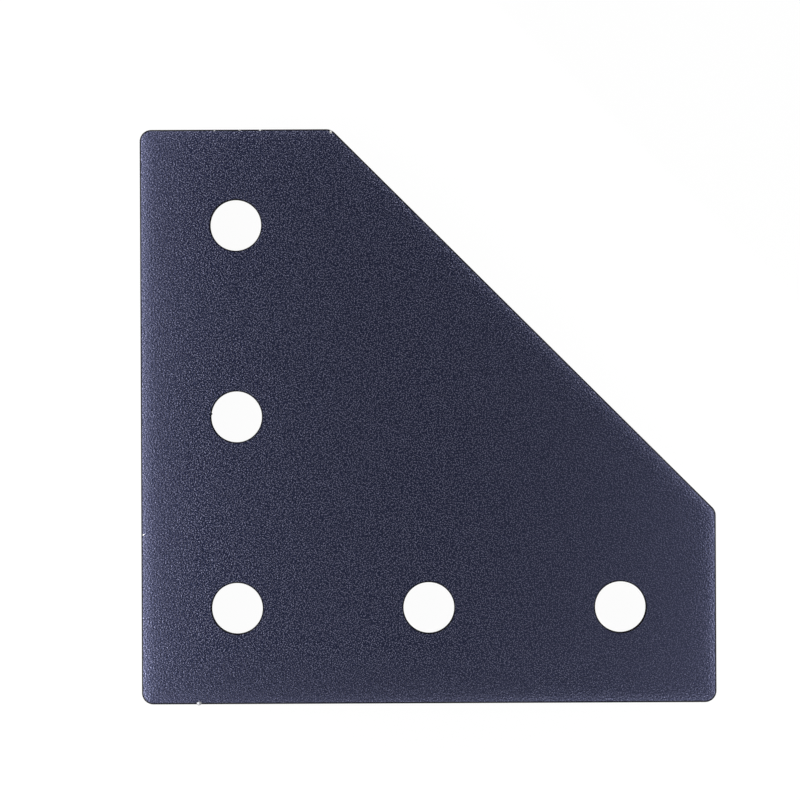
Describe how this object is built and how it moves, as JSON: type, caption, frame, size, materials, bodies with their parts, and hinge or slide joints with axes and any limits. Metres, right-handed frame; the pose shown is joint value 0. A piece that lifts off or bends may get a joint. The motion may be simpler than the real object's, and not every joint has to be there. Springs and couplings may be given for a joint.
{
  "type": "extrusion joining plate",
  "caption": "Flat right-angle joining plate with a bevel between its legs and clearance holes along them, for bolting slotted profiles into a corner.",
  "frame": {"origin": "on the corner hole's axis, on the back face that seats on the profiles", "axes": "+X along one leg, +Y along the other, +Z out of the front face, on which the screw heads bear"},
  "size_m": [0.06, 0.06, 0.004],
  "materials": {
    "black_anodised": "bead-blasted and black-anodised, matt, with a blue-violet cast and fine grain; bare metal only in a few small chips on the edges"
  },
  "bodies": {
    "root": {"joining_plate": "black_anodised"}
  },
  "joints": []
}
